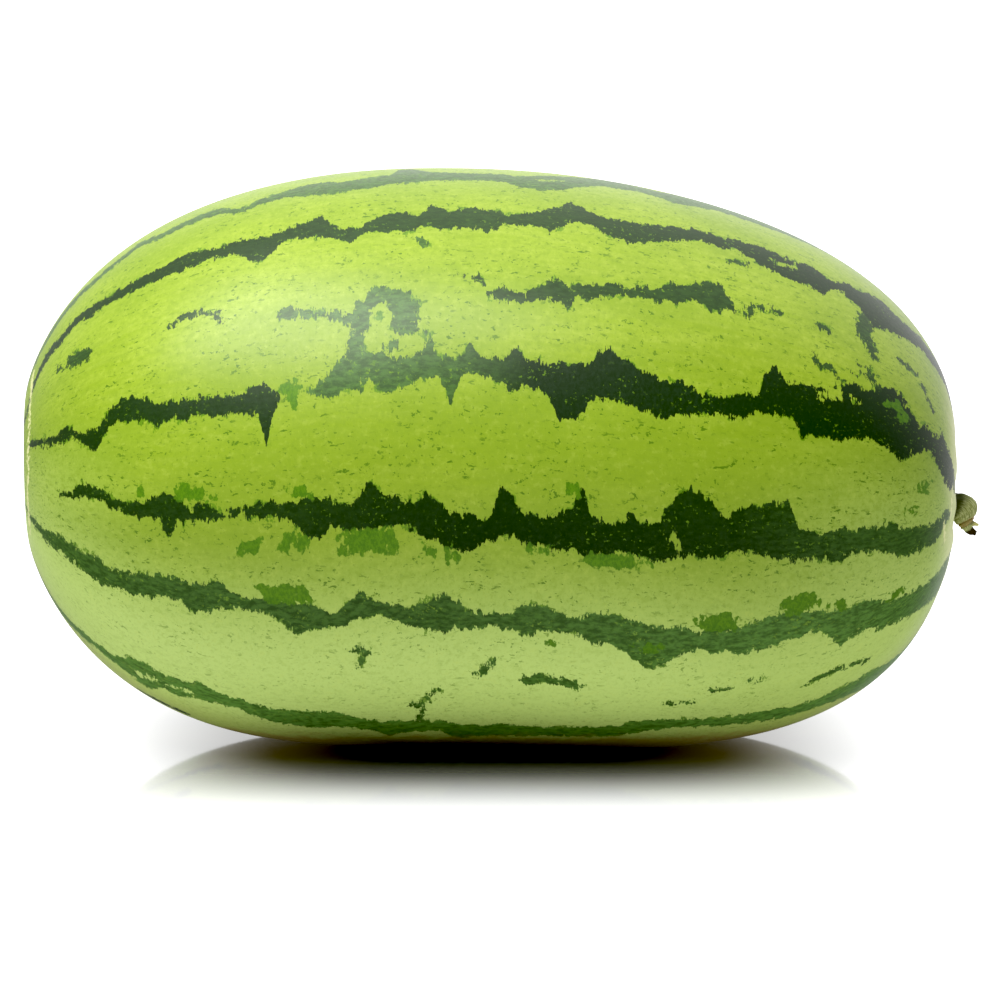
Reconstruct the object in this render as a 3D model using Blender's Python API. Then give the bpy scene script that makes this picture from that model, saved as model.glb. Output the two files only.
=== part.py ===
"""An oblong striped watermelon lying on its flat spot, with the dried stub of its stem.

Metres, +Z up. The long way of the fruit is X: the blossom end is at -X and the stem end at +X.
The origin is under the middle of the whole thing, on the surface that it rests on.
"""

import math

import bmesh
import bpy
from mathutils import Vector

MM = 0.001

# Driving dimensions of the fruit. A station is measured along X from the widest girth.
GIRTH_RADIUS = 111.3 * MM
BLOSSOM_HALF = 163.6 * MM
STEM_HALF = 198.8 * MM
FLAT_SPOT_CUT = 2.0 * MM

# How full each half is: the first power works along the fruit and the second across it.
BLOSSOM_FULLNESS = (2.72, 2.02)
STEM_FULLNESS = (2.82, 2.53)

# The hollow at each end is a soft bell curve: how deep it is, and how wide.
BLOSSOM_HOLLOW = (9.0 * MM, 18.0 * MM)
STEM_HOLLOW = (6.0 * MM, 13.0 * MM)

# The corky scar where the flower fell off, and the flat seat of the stem.
SCAR_HEIGHT = 0.8 * MM
SCAR_RADIUS = 4.5 * MM
SEAT_RADIUS = 6.5 * MM

# The fruit sags a little towards both ends: how far, and over what length.
BLOSSOM_SAG = (3.9 * MM, 71.0 * MM)
STEM_SAG = (13.6 * MM, 126.0 * MM)

# The stem sits under the middle of its end, whose upper side reaches further out than its lower.
STEM_OFFSET = 6.7 * MM
STEM_OFFSET_REACH = 45.0 * MM
STEM_LEAN = 0.057
STEM_LEAN_START = 20.0 * MM

# The blossom end reaches further out on its far side (+Y), and a touch further at the top.
BLOSSOM_LEAN_FAR = 0.05
BLOSSOM_LEAN_UP = 0.012
LEAN_REACH = 70.0 * MM

# Broad, faint ribs along the fruit, which deepen into furrows round the stem's hollow.
RIBS = 10
RIB_DEPTH = 0.5 * MM
FURROW_DEPTH = 0.9 * MM
FURROW_RADIUS = 21.0 * MM
FURROW_WIDTH = 9.0 * MM

# How finely the fruit is faceted: rings in each half, and segments round it.
RINGS_PER_HALF = 26
RING_CROWDING = 1.5
SEGMENTS = 80
LEAST_EDGE = 0.4 * MM

# The stem, in mm out from its foot and up: the outer edge and the inner edge of each ring,
# and the ring's half depth. The rings fan round the bend, so none cuts its neighbour.
# The foot stands a hair's breadth off its seat.
STEM_GAP = 0.3 * MM
STEM_RINGS = [
    ((0.0, 5.8), (0.0, -5.9), 5.8),
    ((2.2, 5.0), (1.7, -5.2), 5.0),
    ((4.8, 4.9), (2.9, -5.1), 4.8),
    ((7.6, 4.2), (3.6, -5.4), 4.7),
    ((9.9, 2.5), (4.0, -6.0), 4.5),
    ((11.2, -0.3), (4.3, -6.8), 4.3),
    ((11.3, -3.2), (4.7, -7.7), 3.9),
    ((10.6, -5.6), (5.6, -8.7), 3.4),
    ((10.4, -7.4), (6.8, -9.8), 2.8),
    ((11.1, -8.7), (8.4, -10.7), 2.2),
    ((12.3, -9.7), (10.8, -11.3), 1.4),
]
STEM_SIDES = 24
STEM_STEPS = 2
STEM_RIDGES = 6
STEM_RIDGE_DEPTH = 0.07

RIND_GREEN = "#9dbf45"
STEM_OLIVE = "#74783a"


def linear_colour(srgb_hex):
    """Turn an sRGB hex colour into the linear RGBA that Blender stores."""
    channels = [int(srgb_hex[i:i + 2], 16) / 255 for i in (1, 3, 5)]
    linear = [c / 12.92 if c <= 0.04045 else ((c + 0.055) / 1.055) ** 2.4 for c in channels]
    return (*linear, 1.0)


def finish(name, srgb_hex, roughness):
    material = bpy.data.materials.new(name)
    material.use_nodes = True
    shader = material.node_tree.nodes["Principled BSDF"]
    shader.inputs["Base Color"].default_value = linear_colour(srgb_hex)
    shader.inputs["Roughness"].default_value = roughness
    shader.inputs["Metallic"].default_value = 0.0
    return material


def add_object(name, bm, material):
    mesh = bpy.data.meshes.new(name)
    bm.to_mesh(mesh)
    bm.free()
    mesh.materials.append(material)
    mesh.shade_smooth()
    mesh.set_sharp_from_angle(angle=math.radians(40))
    thing = bpy.data.objects.new(name, mesh)
    bpy.context.scene.collection.objects.link(thing)
    return thing


def half_profile(half, fullness, hollow, turn):
    """One point of a half's profile: 0 is the end of the fruit and 1 is its widest girth."""
    angle = 0.5 * math.pi * turn
    radius = GIRTH_RADIUS * math.sin(angle) ** (2 / fullness[1])
    station = half * max(math.cos(angle), 0.0) ** (2 / fullness[0])
    depth, width = hollow
    return station - depth * math.exp(-((radius / width) ** 2)), radius


def fruit_profile():
    """The outline from the blossom end to the stem end, as (station, radius) pairs."""
    turns = [(i / RINGS_PER_HALF) ** RING_CROWDING for i in range(RINGS_PER_HALF + 1)]
    outline = []
    for turn in turns:
        station, radius = half_profile(BLOSSOM_HALF, BLOSSOM_FULLNESS, BLOSSOM_HOLLOW, turn)
        scar = SCAR_HEIGHT * math.exp(-((radius / SCAR_RADIUS) ** 4))
        outline.append((-station - scar, radius))
    for turn in reversed(turns[:-1]):
        station, radius = half_profile(STEM_HALF, STEM_FULLNESS, STEM_HOLLOW, turn)
        if radius > 1.2 * SEAT_RADIUS:
            outline.append((station, radius))
    outline.append((seat_station(), SEAT_RADIUS))
    outline.append((seat_station(), 0.0))
    return outline


def seat_station():
    """Where the flat seat of the stem is along X."""
    share = SEAT_RADIUS / GIRTH_RADIUS
    end = STEM_HALF * (1 - share ** STEM_FULLNESS[1]) ** (1 / STEM_FULLNESS[0])
    depth, width = STEM_HOLLOW
    return end - depth * math.exp(-((SEAT_RADIUS / width) ** 2))


def sag(station, radius):
    """How far the middle line of the fruit lies below that of its widest girth."""
    amount, reach = STEM_SAG if station > 0 else BLOSSOM_SAG
    drop = amount * (1 - math.exp(-((station / reach) ** 2)))
    if station > 0 and radius < STEM_OFFSET_REACH:
        drop += STEM_OFFSET * (1 - (radius / STEM_OFFSET_REACH) ** 2) ** 2
    return drop


def lean(station, radius, across, up):
    """How far a point near either end is pushed out along X by the slant of that end."""
    fade = math.exp(-((radius / LEAN_REACH) ** 2))
    if station < 0:
        return -fade * (BLOSSOM_LEAN_FAR * across + BLOSSOM_LEAN_UP * up)
    start = 1 - math.exp(-((radius / STEM_LEAN_START) ** 2))
    return fade * start * STEM_LEAN * up


def grown(point):
    """Bend and rib a point of the turned shape the way the fruit grew."""
    station, across, up = point
    radius = math.hypot(across, up)
    valley = 0.5 - 0.5 * math.cos(RIBS * math.atan2(up, across))
    pull = 1.0 - RIB_DEPTH * valley * radius / GIRTH_RADIUS ** 2
    along = station
    if station < 0 or radius > 1.01 * SEAT_RADIUS:
        along += lean(station, radius, across, up)
    if station > 0 and radius > 1.01 * SEAT_RADIUS:
        along -= FURROW_DEPTH * valley * math.exp(-(((radius - FURROW_RADIUS) / FURROW_WIDTH) ** 2))
    return Vector((along, across * pull, up * pull - sag(station, radius)))


def make_fruit(material):
    bm = bmesh.new()
    outline = [bm.verts.new((station, radius, 0.0)) for station, radius in fruit_profile()]
    for start, end in zip(outline, outline[1:]):
        bm.edges.new((start, end))
    bmesh.ops.spin(
        bm, geom=bm.verts[:] + bm.edges[:], axis=(1.0, 0.0, 0.0), cent=(0.0, 0.0, 0.0),
        angle=2 * math.pi, steps=SEGMENTS, use_merge=True)
    bmesh.ops.remove_doubles(bm, verts=bm.verts[:], dist=0.01 * MM)
    for vert in bm.verts:
        vert.co = grown(vert.co)
    cut_flat_spot(bm)
    bmesh.ops.recalc_face_normals(bm, faces=bm.faces[:])
    return add_object("fruit", bm, material)


def cut_flat_spot(bm):
    """Slice the underside off level and close it with one flat face."""
    floor = min(vert.co.z for vert in bm.verts) + FLAT_SPOT_CUT
    bmesh.ops.bisect_plane(
        bm, geom=bm.verts[:] + bm.edges[:] + bm.faces[:], dist=0.01 * MM,
        plane_co=(0.0, 0.0, floor), plane_no=(0.0, 0.0, -1.0), clear_outer=True)
    rim = [vert for vert in bm.verts if vert.is_boundary]
    bmesh.ops.remove_doubles(bm, verts=rim, dist=LEAST_EDGE)
    open_edges = [edge for edge in bm.edges if edge.is_boundary]
    bmesh.ops.holes_fill(bm, edges=open_edges, sides=0)


def smooth_between(values, position):
    """Read a smooth curve through evenly spaced values, each a flat tuple of numbers."""
    index = min(int(position), len(values) - 2)
    t = position - index
    before = values[max(index - 1, 0)]
    start = values[index]
    end = values[index + 1]
    after = values[min(index + 2, len(values) - 1)]
    return [
        0.5 * (2 * b + (c - a) * t + (2 * a - 5 * b + 4 * c - d) * t ** 2
               + (3 * b - a - 3 * c + d) * t ** 3)
        for a, b, c, d in zip(before, start, end, after)]


def stem_ring(ring, ridge_depth):
    """The points of one ring of the stem, ridged along its length."""
    outer = Vector((ring[0], 0.0, ring[1])) * MM
    inner = Vector((ring[2], 0.0, ring[3])) * MM
    centre = (outer + inner) / 2
    half_span = (outer - inner) / 2
    half_depth = Vector((0.0, ring[4] * MM, 0.0))
    points = []
    for side in range(STEM_SIDES):
        angle = 2 * math.pi * side / STEM_SIDES
        swell = 1.0 + ridge_depth * (math.cos(STEM_RIDGES * angle) - 1.0) / 2
        points.append(centre + swell * (math.cos(angle) * half_span + math.sin(angle) * half_depth))
    return points


def add_ring(bm, points):
    """Add a closed ring through the points and return its edges."""
    made = bmesh.ops.create_circle(bm, segments=len(points), radius=1.0)
    for vert, point in zip(made["verts"], points):
        vert.co = point
    return {edge for vert in made["verts"] for edge in vert.link_edges}


def make_stem(material):
    bm = bmesh.new()
    sections = [(*outer, *inner, depth) for outer, inner, depth in STEM_RINGS]
    steps = STEM_STEPS * (len(sections) - 1)
    rings = [
        add_ring(bm, stem_ring(smooth_between(sections, step / STEM_STEPS), STEM_RIDGE_DEPTH))
        for step in range(steps + 1)]
    for lower, upper in zip(rings, rings[1:]):
        bmesh.ops.bridge_loops(bm, edges=list(lower | upper))
    for end in (rings[0], rings[-1]):
        bmesh.ops.holes_fill(bm, edges=list(end), sides=0)
    bmesh.ops.recalc_face_normals(bm, faces=bm.faces[:])
    return add_object("stem", bm, material)


def world_corners(things):
    """The lowest and highest corner of a few unturned objects, in world space."""
    points = [thing.location + vert.co for thing in things for vert in thing.data.vertices]
    low = Vector([min(point[axis] for point in points) for axis in range(3)])
    high = Vector([max(point[axis] for point in points) for axis in range(3)])
    return low, high


def main():
    for thing in list(bpy.data.objects):
        bpy.data.objects.remove(thing, do_unlink=True)
    fruit = make_fruit(finish("waxy_rind", RIND_GREEN, 0.35))
    stem = make_stem(finish("dried_stalk", STEM_OLIVE, 0.7))
    seat = seat_station()
    stem.location = (seat + STEM_GAP, 0.0, -sag(seat, 0.0))
    low, high = world_corners([fruit, stem])
    home = Vector(((low.x + high.x) / 2, (low.y + high.y) / 2, low.z))
    fruit.location -= home
    stem.location -= home


main()
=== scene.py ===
# %% [markdown]
# # A striped watermelon on a white studio table
#
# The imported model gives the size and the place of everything. This lesson dresses it: a finely meshed
# fruit with its stripes, a torn stem, a white table and soft light. Lengths are in metres in Blender,
# and in millimetres wherever a pattern on the rind is described.

# %% Load the frame
import math

import bmesh
import bpy
import numpy as np
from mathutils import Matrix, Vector, noise


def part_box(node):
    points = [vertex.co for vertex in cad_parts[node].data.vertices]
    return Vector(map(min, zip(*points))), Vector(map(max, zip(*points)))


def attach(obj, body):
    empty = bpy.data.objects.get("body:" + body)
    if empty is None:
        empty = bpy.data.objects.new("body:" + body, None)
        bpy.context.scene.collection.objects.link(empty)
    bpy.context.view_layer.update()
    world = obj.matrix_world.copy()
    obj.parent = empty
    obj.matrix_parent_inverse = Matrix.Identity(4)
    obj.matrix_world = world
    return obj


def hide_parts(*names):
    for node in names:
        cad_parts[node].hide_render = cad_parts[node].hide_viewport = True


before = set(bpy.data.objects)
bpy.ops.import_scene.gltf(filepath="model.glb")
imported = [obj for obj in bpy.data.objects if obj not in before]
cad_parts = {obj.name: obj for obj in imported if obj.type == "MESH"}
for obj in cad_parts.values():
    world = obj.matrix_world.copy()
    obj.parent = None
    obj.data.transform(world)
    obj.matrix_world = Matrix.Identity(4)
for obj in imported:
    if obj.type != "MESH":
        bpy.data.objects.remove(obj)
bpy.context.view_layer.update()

MM = 0.001

# %% [markdown]
# ## Two small helpers
#
# Colours are easiest to choose as the sRGB hex values of a paint program, but Blender mixes light in
# linear values, so one function turns one into the other. The second helper adds a shader node with its
# settings and its links in one line, which keeps the materials short enough to read.

# %% Colour and node helpers


def linear(srgb_hex):
    """The linear RGBA of an sRGB hex colour."""
    channels = [int(srgb_hex[i:i + 2], 16) / 255 for i in (1, 3, 5)]
    return (*[c / 12.92 if c <= 0.04045 else ((c + 0.055) / 1.055) ** 2.4 for c in channels], 1.0)


def add_node(tree, kind, settings=None, **sockets):
    """Add a node; a socket is given by its name or number, as a value or as an output to link from."""
    node = tree.nodes.new(kind)
    for name, value in (settings or {}).items():
        setattr(node, name, value)
    for name, value in sockets.items():
        key = int(name[1:]) if name[0] == "_" else name.replace("_", " ")
        if isinstance(value, bpy.types.NodeSocket):
            tree.links.new(value, node.inputs[key])
        else:
            node.inputs[key].default_value = value
    return node


def new_material(name):
    """An empty material with its Principled shader linked, as (material, tree, shader)."""
    material = bpy.data.materials.new(name)
    material.use_nodes = True
    return material, material.node_tree, material.node_tree.nodes["Principled BSDF"]


print("pure leaf green #00ff00 is", linear("#00ff00"))

# %% [markdown]
# ## The camera
#
# The fruit was photographed from the side, from a little above the table, with a long lens: the two ends
# show no perspective. A long lens 2 m away does the same here. It aims at the middle of the picture,
# which is a little below the middle of the fruit.

# %% Camera
CAMERA_DISTANCE = 2.0
CAMERA_ELEVATION = math.radians(8.5)
CAMERA_AIM = Vector((0.0, 0.0, 0.093))
SENSOR_WIDTH = 36.0
PICTURE_WIDTH = 0.386

camera_data = bpy.data.cameras.new("camera")
camera_data.sensor_fit = "HORIZONTAL"
camera_data.sensor_width = SENSOR_WIDTH
camera_data.lens = SENSOR_WIDTH * CAMERA_DISTANCE / PICTURE_WIDTH
camera = bpy.data.objects.new("camera", camera_data)
bpy.context.scene.collection.objects.link(camera)
toward = Vector((0.0, -math.cos(CAMERA_ELEVATION), math.sin(CAMERA_ELEVATION)))
camera.location = CAMERA_AIM + CAMERA_DISTANCE * toward
camera.rotation_euler = (-toward).to_track_quat("-Z", "Y").to_euler()
bpy.context.scene.camera = camera
print(f"lens {camera_data.lens:.1f} mm, camera at", [round(v, 3) for v in camera.location])

# %% [markdown]
# ## The table and the light
#
# The picture is high-key: a white table that runs out to white, one large soft light overhead and a
# little to the left, and white all round behind. The side that faces the camera gets the least light,
# and the table throws light back up under the fruit. The table is a polished acrylic sheet that glows
# white by itself, and round the fruit the glow fades out into a painted shadow; gloss gives the eye a
# mirror image of the dark underside. The painted shadow is a rounded oblong, so its reach is a fourth
# root and not a plain distance. The light that bounces up to the fruit starts nearer to it, which keeps
# its belly pale.

# %% Finish of the table
WHITE = (1.0, 1.0, 1.0, 1.0)
TABLE_GREY = linear("#707070")
POLISH_ROUGHNESS = 0.07
ACRYLIC_IOR = 1.45
PAINTED_SHADOW_SHAPE = (0.8, 1.0, 1.0)
PAINTED_SHADOW_REACH = 0.068
GLOW_REACH = 0.162
GLOW = 1.08
BOUNCE_REACH = (0.032, 0.13)
BOUNCE = 1.4

table_finish, tree, shader = new_material("white_acrylic_sheet")
shader.inputs["Base Color"].default_value = TABLE_GREY
shader.inputs["Roughness"].default_value = POLISH_ROUGHNESS
shader.inputs["IOR"].default_value = ACRYLIC_IOR
shader.inputs["Emission Color"].default_value = WHITE
spot = add_node(tree, "ShaderNodeTexCoord").outputs["Object"]
spot = add_node(
    tree, "ShaderNodeVectorMath", {"operation": "MULTIPLY"}, _0=spot, _1=PAINTED_SHADOW_SHAPE).outputs["Vector"]
spot = add_node(tree, "ShaderNodeVectorMath", {"operation": "MULTIPLY"}, _0=spot, _1=spot).outputs["Vector"]
reach = add_node(tree, "ShaderNodeVectorMath", {"operation": "LENGTH"}, _0=spot).outputs["Value"]
reach = add_node(tree, "ShaderNodeMath", {"operation": "SQRT"}, _0=reach).outputs[0]
# Where the fruit lies the table's glow fades out: a painted shadow.
glow = add_node(
    tree, "ShaderNodeMapRange", {"interpolation_type": "SMOOTHSTEP"}, Value=reach,
    From_Min=PAINTED_SHADOW_REACH, From_Max=GLOW_REACH, To_Max=GLOW).outputs["Result"]
bounced = add_node(tree, "ShaderNodeLightPath").outputs["Is Diffuse Ray"]
bounce = add_node(
    tree, "ShaderNodeMapRange", {"interpolation_type": "SMOOTHSTEP"}, Value=reach,
    From_Min=BOUNCE_REACH[0], From_Max=BOUNCE_REACH[1], To_Max=BOUNCE).outputs["Result"]
glow = add_node(
    tree, "ShaderNodeMapRange", {}, Value=bounced, To_Min=glow, To_Max=bounce).outputs["Result"]
tree.links.new(glow, shader.inputs["Emission Strength"])
print("table finish has", len(tree.nodes), "nodes")

# %% Table top
TABLE_SIZE = 60.0

bm = bmesh.new()
bmesh.ops.create_grid(bm, x_segments=1, y_segments=1, size=TABLE_SIZE / 2)
mesh = bpy.data.meshes.new("table")
bm.to_mesh(mesh)
bm.free()
mesh.materials.append(table_finish)
table = bpy.data.objects.new("table", mesh)
bpy.context.scene.collection.objects.link(table)
# The wax doesn't mirror the table, because that would lay a grey veil over the dark stripes.
table.visible_glossy = False
print("table", TABLE_SIZE, "m square")

# %% Softbox
SOFTBOX_PLACE = (-0.42, -0.52, 1.16)
SOFTBOX_AIM = (0.0, 0.0, 0.1)
SOFTBOX_SIZE = (1.1, 0.8)
SOFTBOX_POWER = 31.5


def add_softbox(name, place, aim, size, power):
    """A rectangular area light; its size is width and height in metres, its power in watts."""
    data = bpy.data.lights.new(name, "AREA")
    data.shape = "RECTANGLE"
    data.size, data.size_y = size
    data.energy = power
    lamp = bpy.data.objects.new(name, data)
    lamp.location = place
    lamp.rotation_euler = (Vector(aim) - Vector(place)).to_track_quat("-Z", "Y").to_euler()
    bpy.context.scene.collection.objects.link(lamp)
    return lamp


softbox = add_softbox("softbox", SOFTBOX_PLACE, SOFTBOX_AIM, SOFTBOX_SIZE, SOFTBOX_POWER)
print(softbox.name, SOFTBOX_SIZE, "m, at", SOFTBOX_PLACE)

# %% [markdown]
# White card stands behind the fruit, above it and at its sides, less of it on the left, and the room on
# the camera's side is dark. The world plays that part: it is bright in the directions of the card and dim
# elsewhere, so the waxy skin gets its pale veil near its upper edge and stays clear in front. The
# background that the camera sees is plain white.

# %% Surroundings
CARD_DIRECTION = (0.05, 0.75, 0.66)
CARD_FADE = (0.05, 0.85)
HORIZON_FADE = (-0.15, 0.05)
LEFT_FADE = (-0.45, -0.05)
SIDE_CARD = 2.0
DIM_SIDE = 0.03
BRIGHT_SIDE = 1.5
LEFT_SIDE = 0.7
BACKDROP = 1.05

world = bpy.data.worlds.new("white_studio")
bpy.context.scene.world = world
world.use_nodes = True
tree = world.node_tree
direction = add_node(tree, "ShaderNodeTexCoord").outputs["Generated"]
backward = add_node(
    tree, "ShaderNodeVectorMath", {"operation": "DOT_PRODUCT"}, _0=direction,
    _1=CARD_DIRECTION).outputs["Value"]
parts = add_node(tree, "ShaderNodeSeparateXYZ", {}, Vector=direction).outputs
sideways = add_node(tree, "ShaderNodeMath", {"operation": "ABSOLUTE"}, _0=parts["X"]).outputs[0]
upward = add_node(
    tree, "ShaderNodeMath", {"operation": "MULTIPLY_ADD"}, _0=sideways, _1=SIDE_CARD,
    _2=parts["Z"]).outputs[0]
bright = add_node(
    tree, "ShaderNodeMapRange", {}, Value=parts["X"], From_Min=LEFT_FADE[0], From_Max=LEFT_FADE[1],
    To_Min=LEFT_SIDE, To_Max=BRIGHT_SIDE).outputs["Result"]
horizon = add_node(
    tree, "ShaderNodeMapRange", {}, Value=upward, From_Min=HORIZON_FADE[0], From_Max=HORIZON_FADE[1],
    To_Min=DIM_SIDE, To_Max=bright).outputs["Result"]
studio = add_node(
    tree, "ShaderNodeMapRange", {"interpolation_type": "SMOOTHSTEP"}, Value=backward,
    From_Min=CARD_FADE[0], From_Max=CARD_FADE[1], To_Min=DIM_SIDE, To_Max=horizon).outputs["Result"]
seen = add_node(tree, "ShaderNodeLightPath").outputs["Is Camera Ray"]
strength = add_node(
    tree, "ShaderNodeMapRange", {}, Value=seen, To_Min=studio, To_Max=BACKDROP).outputs["Result"]
tree.links.new(strength, tree.nodes["Background"].inputs["Strength"])
tree.nodes["Background"].inputs["Color"].default_value = WHITE
print("surroundings from", DIM_SIDE, "to", BRIGHT_SIDE)

# %% [markdown]
# The picture is developed plainly, with blacks a touch deeper than the lens's haze leaves them.

# %% Development of the picture
BLACK_LEVEL = 0.015

view = bpy.context.scene.view_settings
view.view_transform = "Standard"
view.use_curve_mapping = True
view.curve_mapping.black_level = (BLACK_LEVEL, BLACK_LEVEL, BLACK_LEVEL)
view.curve_mapping.update()

# %% [markdown]
# ## The shape of the fruit
#
# A watermelon swells evenly round its long axis, so half of its outline turned round that axis gives the
# whole body. The solid does this with few faces. Here the same curve is walked in even steps, fine enough
# to carry the edge of a stripe, and then bent the way the fruit grew: it sags towards both ends, its ends
# slant a little, and ten broad ribs deepen into furrows round the stem.

# %% Outline of the fruit
GIRTH_RADIUS = 111.3 * MM
BLOSSOM_HALF = 163.6 * MM
STEM_HALF = 198.8 * MM
BLOSSOM_FULLNESS = (2.72, 2.02)
STEM_FULLNESS = (2.82, 2.53)
BLOSSOM_HOLLOW = (9.0 * MM, 18.0 * MM)
STEM_HOLLOW = (6.0 * MM, 13.0 * MM)
SCAR_HEIGHT = 0.8 * MM
SCAR_RADIUS = 4.5 * MM
SEAT_RADIUS = 6.5 * MM
FLAT_SPOT_CUT = 2.0 * MM
RINGS = 298
SEGMENTS = 330


def half_outline(half, fullness, hollow, turn):
    """Stations and radii of one half, from its end at turn 0 to the widest girth at turn 1."""
    angle = 0.5 * math.pi * turn
    radius = GIRTH_RADIUS * np.sin(angle) ** (2 / fullness[1])
    station = half * np.clip(np.cos(angle), 0.0, 1.0) ** (2 / fullness[0])
    return station - hollow[0] * np.exp(-((radius / hollow[1]) ** 2)), radius


turns = np.linspace(0.0, 1.0, 4000) ** 1.5
blossom_station, blossom_radius = half_outline(BLOSSOM_HALF, BLOSSOM_FULLNESS, BLOSSOM_HOLLOW, turns)
blossom_station = blossom_station + SCAR_HEIGHT * np.exp(-((blossom_radius / SCAR_RADIUS) ** 4))
stem_station, stem_radius = half_outline(STEM_HALF, STEM_FULLNESS, STEM_HOLLOW, turns[::-1][1:])
seat_station = float(np.interp(-SEAT_RADIUS, -stem_radius, stem_station))
keep = stem_radius > SEAT_RADIUS
stations = np.concatenate([-blossom_station, stem_station[keep], [seat_station, seat_station]])
radii = np.concatenate([blossom_radius, stem_radius[keep], [SEAT_RADIUS, 0.0]])
lengths = np.concatenate([[0.0], np.cumsum(np.hypot(np.diff(stations), np.diff(radii)))])
girth_at = lengths[len(blossom_station) - 1]
even = np.linspace(0.0, lengths[-1], RINGS + 1)
outline = np.stack([np.interp(even, lengths, stations), np.interp(even, lengths, radii)], axis=1)
outline[[0, -1], 1] = 0.0
along_outline = (even - girth_at) / MM
print(f"outline {lengths[-1] / MM:.0f} mm long, from {along_outline[0]:.0f} to {along_outline[-1]:.0f}")

# %% Turn the outline round the long axis
bm = bmesh.new()
along_layer = bm.verts.layers.float.new("along")
chain = []
for (station, radius), distance in zip(outline, along_outline):
    vert = bm.verts.new((station, 0.0, -radius))
    vert[along_layer] = distance
    chain.append(vert)
for start, end in zip(chain, chain[1:]):
    bm.edges.new((start, end))
bmesh.ops.spin(
    bm, geom=bm.verts[:] + bm.edges[:], axis=(1.0, 0.0, 0.0), cent=(0.0, 0.0, 0.0),
    angle=2 * math.pi, steps=SEGMENTS, use_merge=True)
bmesh.ops.remove_doubles(bm, verts=bm.verts[:], dist=0.005 * MM)
bmesh.ops.recalc_face_normals(bm, faces=bm.faces[:])
fruit_mesh = bpy.data.meshes.new("fine_fruit")
bm.to_mesh(fruit_mesh)
bm.free()
print(len(fruit_mesh.vertices), "points,", len(fruit_mesh.polygons), "faces")

# %% Let it grow: sag, slant, ribs and the flat spot
RIBS = 10
RIB_DEPTH = 0.5 * MM
FURROW = (0.9 * MM, 21.0 * MM, 9.0 * MM)
CONTACT_ROUNDING = 0.5 * MM
# Each sag is a depth and the distance over which it comes. A slant is the shift along for each metre up
# or across, and it fades out towards the girth.
STEM_SAG = (13.6 * MM, 126.0 * MM)
BLOSSOM_SAG = (3.9 * MM, 71.0 * MM)
SEAT_SAG = (6.7 * MM, 45.0 * MM)
SLANT_FROM = 20.0 * MM
SLANT_TO = 70.0 * MM
STEM_SLANT = 0.057
BLOSSOM_SLANT = (0.05, 0.012)

count = len(fruit_mesh.vertices)
points = np.empty(count * 3)
fruit_mesh.vertices.foreach_get("co", points)
station, across, up = points.reshape(-1, 3).T
along = np.empty(count)
fruit_mesh.attributes["along"].data.foreach_get("value", along)
radius = np.hypot(across, up)
turn_angle = np.arctan2(up, -across)
valley = 0.5 - 0.5 * np.cos(RIBS * turn_angle)
on_stem_half = station > 0
off_seat = radius > 1.01 * SEAT_RADIUS
pull = 1.0 - RIB_DEPTH * valley * radius / GIRTH_RADIUS ** 2
drop = np.where(
    on_stem_half,
    STEM_SAG[0] * (1 - np.exp(-((station / STEM_SAG[1]) ** 2))),
    BLOSSOM_SAG[0] * (1 - np.exp(-((station / BLOSSOM_SAG[1]) ** 2))))
near_axis = np.clip(1 - (radius / SEAT_SAG[1]) ** 2, 0.0, 1.0)
drop = drop + np.where(on_stem_half, SEAT_SAG[0] * near_axis ** 2, 0.0)
fade = np.exp(-((radius / SLANT_TO) ** 2))
stem_slant = fade * (1 - np.exp(-((radius / SLANT_FROM) ** 2))) * STEM_SLANT * up
blossom_slant = -fade * (BLOSSOM_SLANT[0] * across + BLOSSOM_SLANT[1] * up)
slant = np.where(on_stem_half, np.where(off_seat, stem_slant, 0.0), blossom_slant)
furrow = FURROW[0] * valley * np.exp(-(((radius - FURROW[1]) / FURROW[2]) ** 2))
grown = np.stack([
    station + slant - np.where(on_stem_half & off_seat, furrow, 0.0),
    across * pull,
    up * pull - drop], axis=1)

floor = grown[:, 2].min() + FLAT_SPOT_CUT
above = grown[:, 2] - floor
grown[:, 2] = 0.5 * (above + np.sqrt(above ** 2 + CONTACT_ROUNDING ** 2))
fruit_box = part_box("fruit")
grown[:, 0] += fruit_box[0][0] - grown[:, 0].min()
at_seat = on_stem_half & (radius < 0.5 * SEAT_RADIUS)
STALK_FOOT_HEIGHT = float(grown[at_seat, 2].mean())
fruit_mesh.vertices.foreach_set("co", grown.ravel())
fruit_mesh.shade_smooth()
fruit_mesh.update()
print(f"the seat of the stem is {STALK_FOOT_HEIGHT / MM:.1f} mm above the table")
print("fine fruit from", grown.min(axis=0).round(4), "to", grown.max(axis=0).round(4))
print("solid fruit    ", [round(v, 4) for v in fruit_box[0]], [round(v, 4) for v in fruit_box[1]])
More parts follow.
